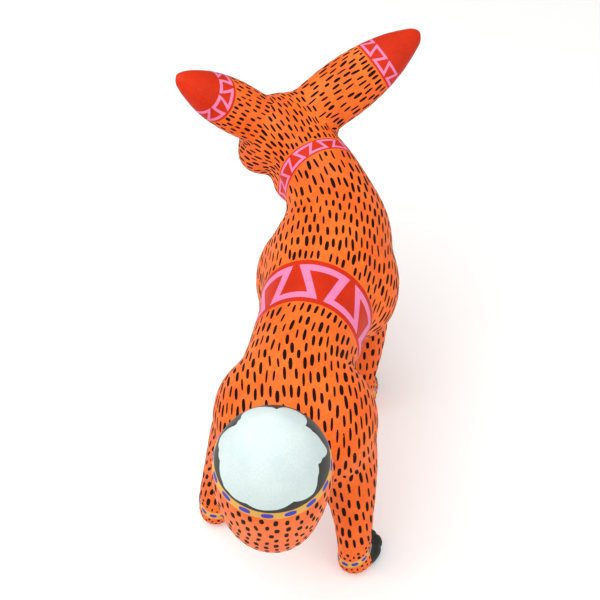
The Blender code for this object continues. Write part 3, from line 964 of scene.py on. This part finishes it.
def strokeMarks():
    names = pieceAt(strokeSpots)
    flow = flowEverywhere(names, strokeSpots, strokeNormals)
    sizes = sizesOf(strokeKinds(names, strokeSpots))
    orange = paintAt(names, strokeSpots) == "orangeAcrylic"
    marks = {name: [] for name in carvings}
    count = len(strokeSpots)
    lengths = sizes[:, 0] * strokeRandom.uniform(brush["shortest"], brush["longest"], count)
    spread = strokeRandom.normal(1, brush["uneven"], count)
    widths = sizes[:, 1] * np.clip(spread, brush["thinnest"], brush["widest"])
    sway = strokeRandom.normal(0, brush["sway"], count)
    side = np.cross(strokeNormals, flow)
    flow = flow + sway[:, None] * side
    # a stroke that would cross an edge is painted shorter, or not at all
    fits = np.zeros(count, dtype=bool)
    for shrink in (1, 0.8, 0.6, 0.45):
        trial = lengths * shrink
        ok = orange.copy()
        for end in (-1, 1):
            tips, _ = onSkin(strokeSpots + end * flow * (trial / 2 + brush["margin"])[:, None])
            ok &= staysIn(names, tips)
        lengths[ok & ~fits] *= shrink
        fits |= ok
    for k in np.nonzero(fits)[0]:
        width = min(widths[k], lengths[k] * brush["squattest"])
        marks[names[k]].append((Vector(strokeSpots[k]), Vector(flow[k]), lengths[k], width))
    return marks


dashPieces = {}
for name, marks in strokeMarks().items():
    dashPieces[name] = layStrokes(name + "_dashes", marks, "brownAcrylic")
    print(name, "dashes", len(marks))

# fretted ribbons and ovals that run round a piece

ringSteps = 240
fretCoat = dict(lift=0.13 * mm, thick=0.3 * mm, lanes=4)


def ringTable(low, high):
    # the way round between two planes: angle against distance, at the middle of the band
    ring = [bandSpot(low, high, 0.5, 2 * math.pi * k / ringSteps)[0] for k in range(ringSteps + 1)]
    run = np.concatenate([[0], np.cumsum([(b - a).length for a, b in zip(ring, ring[1:])])])
    return run, np.linspace(0, 2 * math.pi, ringSteps + 1)


def bandSpot(low, high, share, angle):
    # the spot on the skin at a share of the way from one plane to the other, and its normal
    point = low["point"].lerp(high["point"], share)
    normal = unit(low["normal"].lerp(high["normal"], share))
    up = unit(Vector((0, 0, 1)) - normal * normal.z)
    side = normal.cross(up)
    way = up * math.cos(angle) + side * math.sin(angle)
    return skinTree.ray_cast(point, way)[:2]


def fretCorners(units, run, lean, low, high):
    # a dovetailed key pattern: out along the top, back down a slant, out along the bottom, back up
    corners, u = [], 0
    for k in range(units):
        corners += [(u, high), (u + run, high), (u + run - lean, low), (u + 2 * run - lean, low)]
        u += 2 * (run - lean)
    return corners, u


def ribbonStations(corners, total, half, step):
    # the two edges of a ribbon round a closed way, mitred at each corner and cut into short lengths
    count = len(corners)
    points = [Vector(c) for c in corners]

    def at(k):
        return points[k % count] + Vector((total * (k // count), 0))

    edges = []
    for k in range(count + 1):
        before, here, after = at(k - 1), at(k), at(k + 1)
        a, b = (here - before).normalized(), (after - here).normalized()
        na, nb = Vector((-a.y, a.x)), Vector((-b.y, b.x))
        mitre = (na + nb).normalized()
        reach = half / max(mitre.dot(nb), 0.25)
        edges.append((here + mitre * reach, here - mitre * reach))
    stations = []
    for (leftA, rightA), (leftB, rightB) in zip(edges, edges[1:]):
        pieces = max(2, math.ceil((leftB - leftA).length / step))
        for k in range(pieces):
            stations.append((leftA.lerp(leftB, k / pieces), rightA.lerp(rightB, k / pieces)))
    return stations


def layFret(name, low, high, spec):
    table, angles = ringTable(low, high)
    around = table[-1]
    width = (low["point"] - high["point"]).length
    period = 2 * (spec["run"] - spec["lean"])
    units = round(around / period)
    scale = around / (units * period)
    inset = spec["margin"] + spec["ribbon"] / 2
    corners, total = fretCorners(units, spec["run"] * scale, spec["lean"] * scale, inset, width - inset)
    stations = ribbonStations(corners, total, spec["ribbon"] / 2, spec["step"])
    lanes = fretCoat["lanes"]
    spots = []
    for left, right in stations:
        for lane in range(lanes + 1):
            flat = left.lerp(right, lane / lanes)
            angle = np.interp(flat.x % around, table, angles)
            hit, normal = bandSpot(low, high, flat.y / width, angle)
            spots.append(hit + normal * fretCoat["lift"])
    count = len(stations)
    faces = []
    for k in range(count):
        a, b = (lanes + 1) * k, (lanes + 1) * ((k + 1) % count)
        faces += [(a + j, b + j, b + j + 1, a + j + 1) for j in range(lanes)]
    item = paintedItem(name, spots, faces, "pinkAcrylic")
    if sum(face.normal.dot(face.center - low["point"]) for face in item.data.polygons) < 0:
        bpy.ops.object.mode_set(mode="EDIT")
        bpy.ops.mesh.select_all(action="SELECT")
        bpy.ops.mesh.flip_normals()
        bpy.ops.object.mode_set(mode="OBJECT")
    applyModifier(item, "SOLIDIFY", thickness=fretCoat["thick"], offset=-1)
    bpy.ops.object.shade_smooth_by_angle(angle=coatCrease)
    return item


def layOvals(name, low, high, length, width, pitch):
    # dabs spaced evenly round a band, each turned along it
    table, angles = ringTable(low, high)
    count = round(table[-1] / pitch)
    marks = []
    for k in range(count):
        angle = np.interp(table[-1] * (k + 0.5) / count, table, angles)
        here, _ = bandSpot(low, high, 0.5, angle)
        ahead, _ = bandSpot(low, high, 0.5, angle + 0.05)
        marks.append((here, ahead - here, length, width))
    return layStrokes(name, marks, "blueAcrylic")


waistFret = dict(run=21 * mm, lean=6 * mm, ribbon=4.2 * mm, margin=3.2 * mm, step=1.4 * mm)
neckFret = dict(run=10 * mm, lean=2.9 * mm, ribbon=1.5 * mm, margin=0.9 * mm, step=1.5 * mm)
earFret = dict(run=8.7 * mm, lean=2.7 * mm, ribbon=1.45 * mm, margin=1.2 * mm, step=1.5 * mm)
earFretWidth = dict(ear_left=9.6 * mm, ear_right=10 * mm)
frets = {"torso": layFret("waist_fret", waist["chest"], waist["rump"], waistFret),
         "head": layFret("neck_fret", above(neckSeam, 0.1 * mm), neckTop, neckFret)}
for ear in earTip:
    frets[ear] = layFret(ear + "_fret", earLines[ear], above(earLines[ear], earFretWidth[ear]), earFret)
tailOval = dict(length=5.6 * mm, width=3.1 * mm, pitch=9.5 * mm)
cuffOval = dict(length=4.2 * mm, width=2.5 * mm, pitch=6 * mm)
ovals = {"tail": layOvals("tail_ovals", tailLow, tailRing, **tailOval)}
for leg in legNames:
    ovals[leg] = layOvals(leg + "_ovals", feet[leg]["low"], feet[leg]["top"], **cuffOval)
print("frets and ovals laid")

# the face: eyes of three coats of paint, a carved nose and a painted mouth

# each coat of an eye: its paint, and its share of the eye's length and width
eyeCoats = (("blackAcrylic", 1, 1), ("eyeAcrylic", 0.82, 0.76), ("blackAcrylic", 0.4, 0.64))
nosePinch = (0.55, 0.9, 0.8)


def eyeBlank():
    # a round coat of paint in three rings, which bends over the cheek
    deselectAll()
    bpy.ops.mesh.primitive_circle_add(vertices=32, radius=1, fill_type="NGON")
    blank = bpy.context.view_layer.objects.active
    bpy.ops.object.mode_set(mode="EDIT")
    bpy.ops.mesh.select_all(action="SELECT")
    bpy.ops.mesh.inset(thickness=0.33)
    bpy.ops.mesh.inset(thickness=0.33)
    bpy.ops.mesh.poke()
    bpy.ops.object.mode_set(mode="OBJECT")
    return blank


def layCoat(blank, spot, way, length, width, paint, lift):
    coat = ownCopy(blank, "eye_coat")
    _, normal, _, _ = skinTree.find_nearest(spot)
    way = (way - normal * way.dot(normal)).normalized()
    side = normal.cross(way)
    for vertex in coat.data.vertices:
        x, y = vertex.co.x, vertex.co.y * (1 - eye["almond"] * vertex.co.x ** 2)
        ground = skinTree.find_nearest(spot + way * (x * length / 2) + side * (y * width / 2))[0]
        vertex.co = ground + normal * lift
    coat.data.materials.append(materials[paint])
    applyModifier(coat, "SOLIDIFY", thickness=eye["coat"] * 3, offset=-1)
    bpy.ops.object.shade_smooth_by_angle(angle=coatCrease)
    return coat


def carveNose():
    deselectAll()
    bpy.ops.mesh.primitive_uv_sphere_add(segments=32, ring_count=16, radius=0.5)
    bulb = bpy.context.view_layer.objects.active
    # the underside is pinched in, which makes the nose a rounded wedge
    bpy.ops.object.mode_set(mode="EDIT")
    bpy.ops.mesh.select_all(action="DESELECT")
    bpy.ops.object.mode_set(mode="OBJECT")
    for vertex in bulb.data.vertices:
        vertex.select = vertex.co.z < -0.1
    bpy.ops.object.mode_set(mode="EDIT")
    bpy.ops.transform.resize(value=nosePinch)
    bpy.ops.object.mode_set(mode="OBJECT")
    bulb.rotation_euler = forward.to_track_quat("Y", "Z").to_euler()
    bulb.scale = (nose["width"], nose["length"], nose["height"])
    bulb.location = noseTip - forward * nose["sink"] + crown * nose["lift"]
    bpy.ops.object.transform_apply(location=True, rotation=True, scale=True)
    bulb.data.materials.append(materials["blackAcrylic"])
    bpy.ops.object.shade_smooth()
    return bulb


def paintMouth():
    marks = []
    pitch = mouth["back"] / mouth["marks"]
    for side in (-1, 1):
        for k in range(mouth["marks"]):
            start = noseTip - forward * pitch * (k + 0.5) - crown * mouth["drop"]
            hit = skinTree.ray_cast(start, aside * side)[0]
            if hit is not None:
                marks.append((hit, forward, pitch * mouth["overlap"], mouth["width"]))
    return layStrokes("mouth_line", marks, "blackAcrylic", mouth["lift"])


def layFace():
    parts = []
    blank = eyeBlank()
    way = unit(forward + crown * eye["tilt"])
    for spot in eyes:
        for step, (paint, share, stretch) in enumerate(eyeCoats, 1):
            length, width = eye["length"] * share, eye["width"] * stretch
            parts.append(layCoat(blank, spot, way, length, width, paint, eye["coat"] * step))
    bpy.data.objects.remove(blank)
    return joined(parts + [carveNose(), paintMouth()], "head_face")


extras = {"head": layFace()}
print("face laid")

# every carved piece hides its part and rides on its body, with what is painted on it; the parts that are not
# carved take bare copal

for name, piece in carvings.items():
    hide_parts(name)
    laidOn = [group[name] for group in (frets, ovals, extras) if name in group]
    for item in [piece, dashPieces[name]] + laidOn:
        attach(item, bodyOf.get(name, "fox"))
for name, node in frame["nodes"].items():
    if name not in carvings:
        node.data.materials.clear()
        node.data.materials.append(materials["bareCopal"])
bpy.data.objects.remove(skin)
print("pieces handed over")
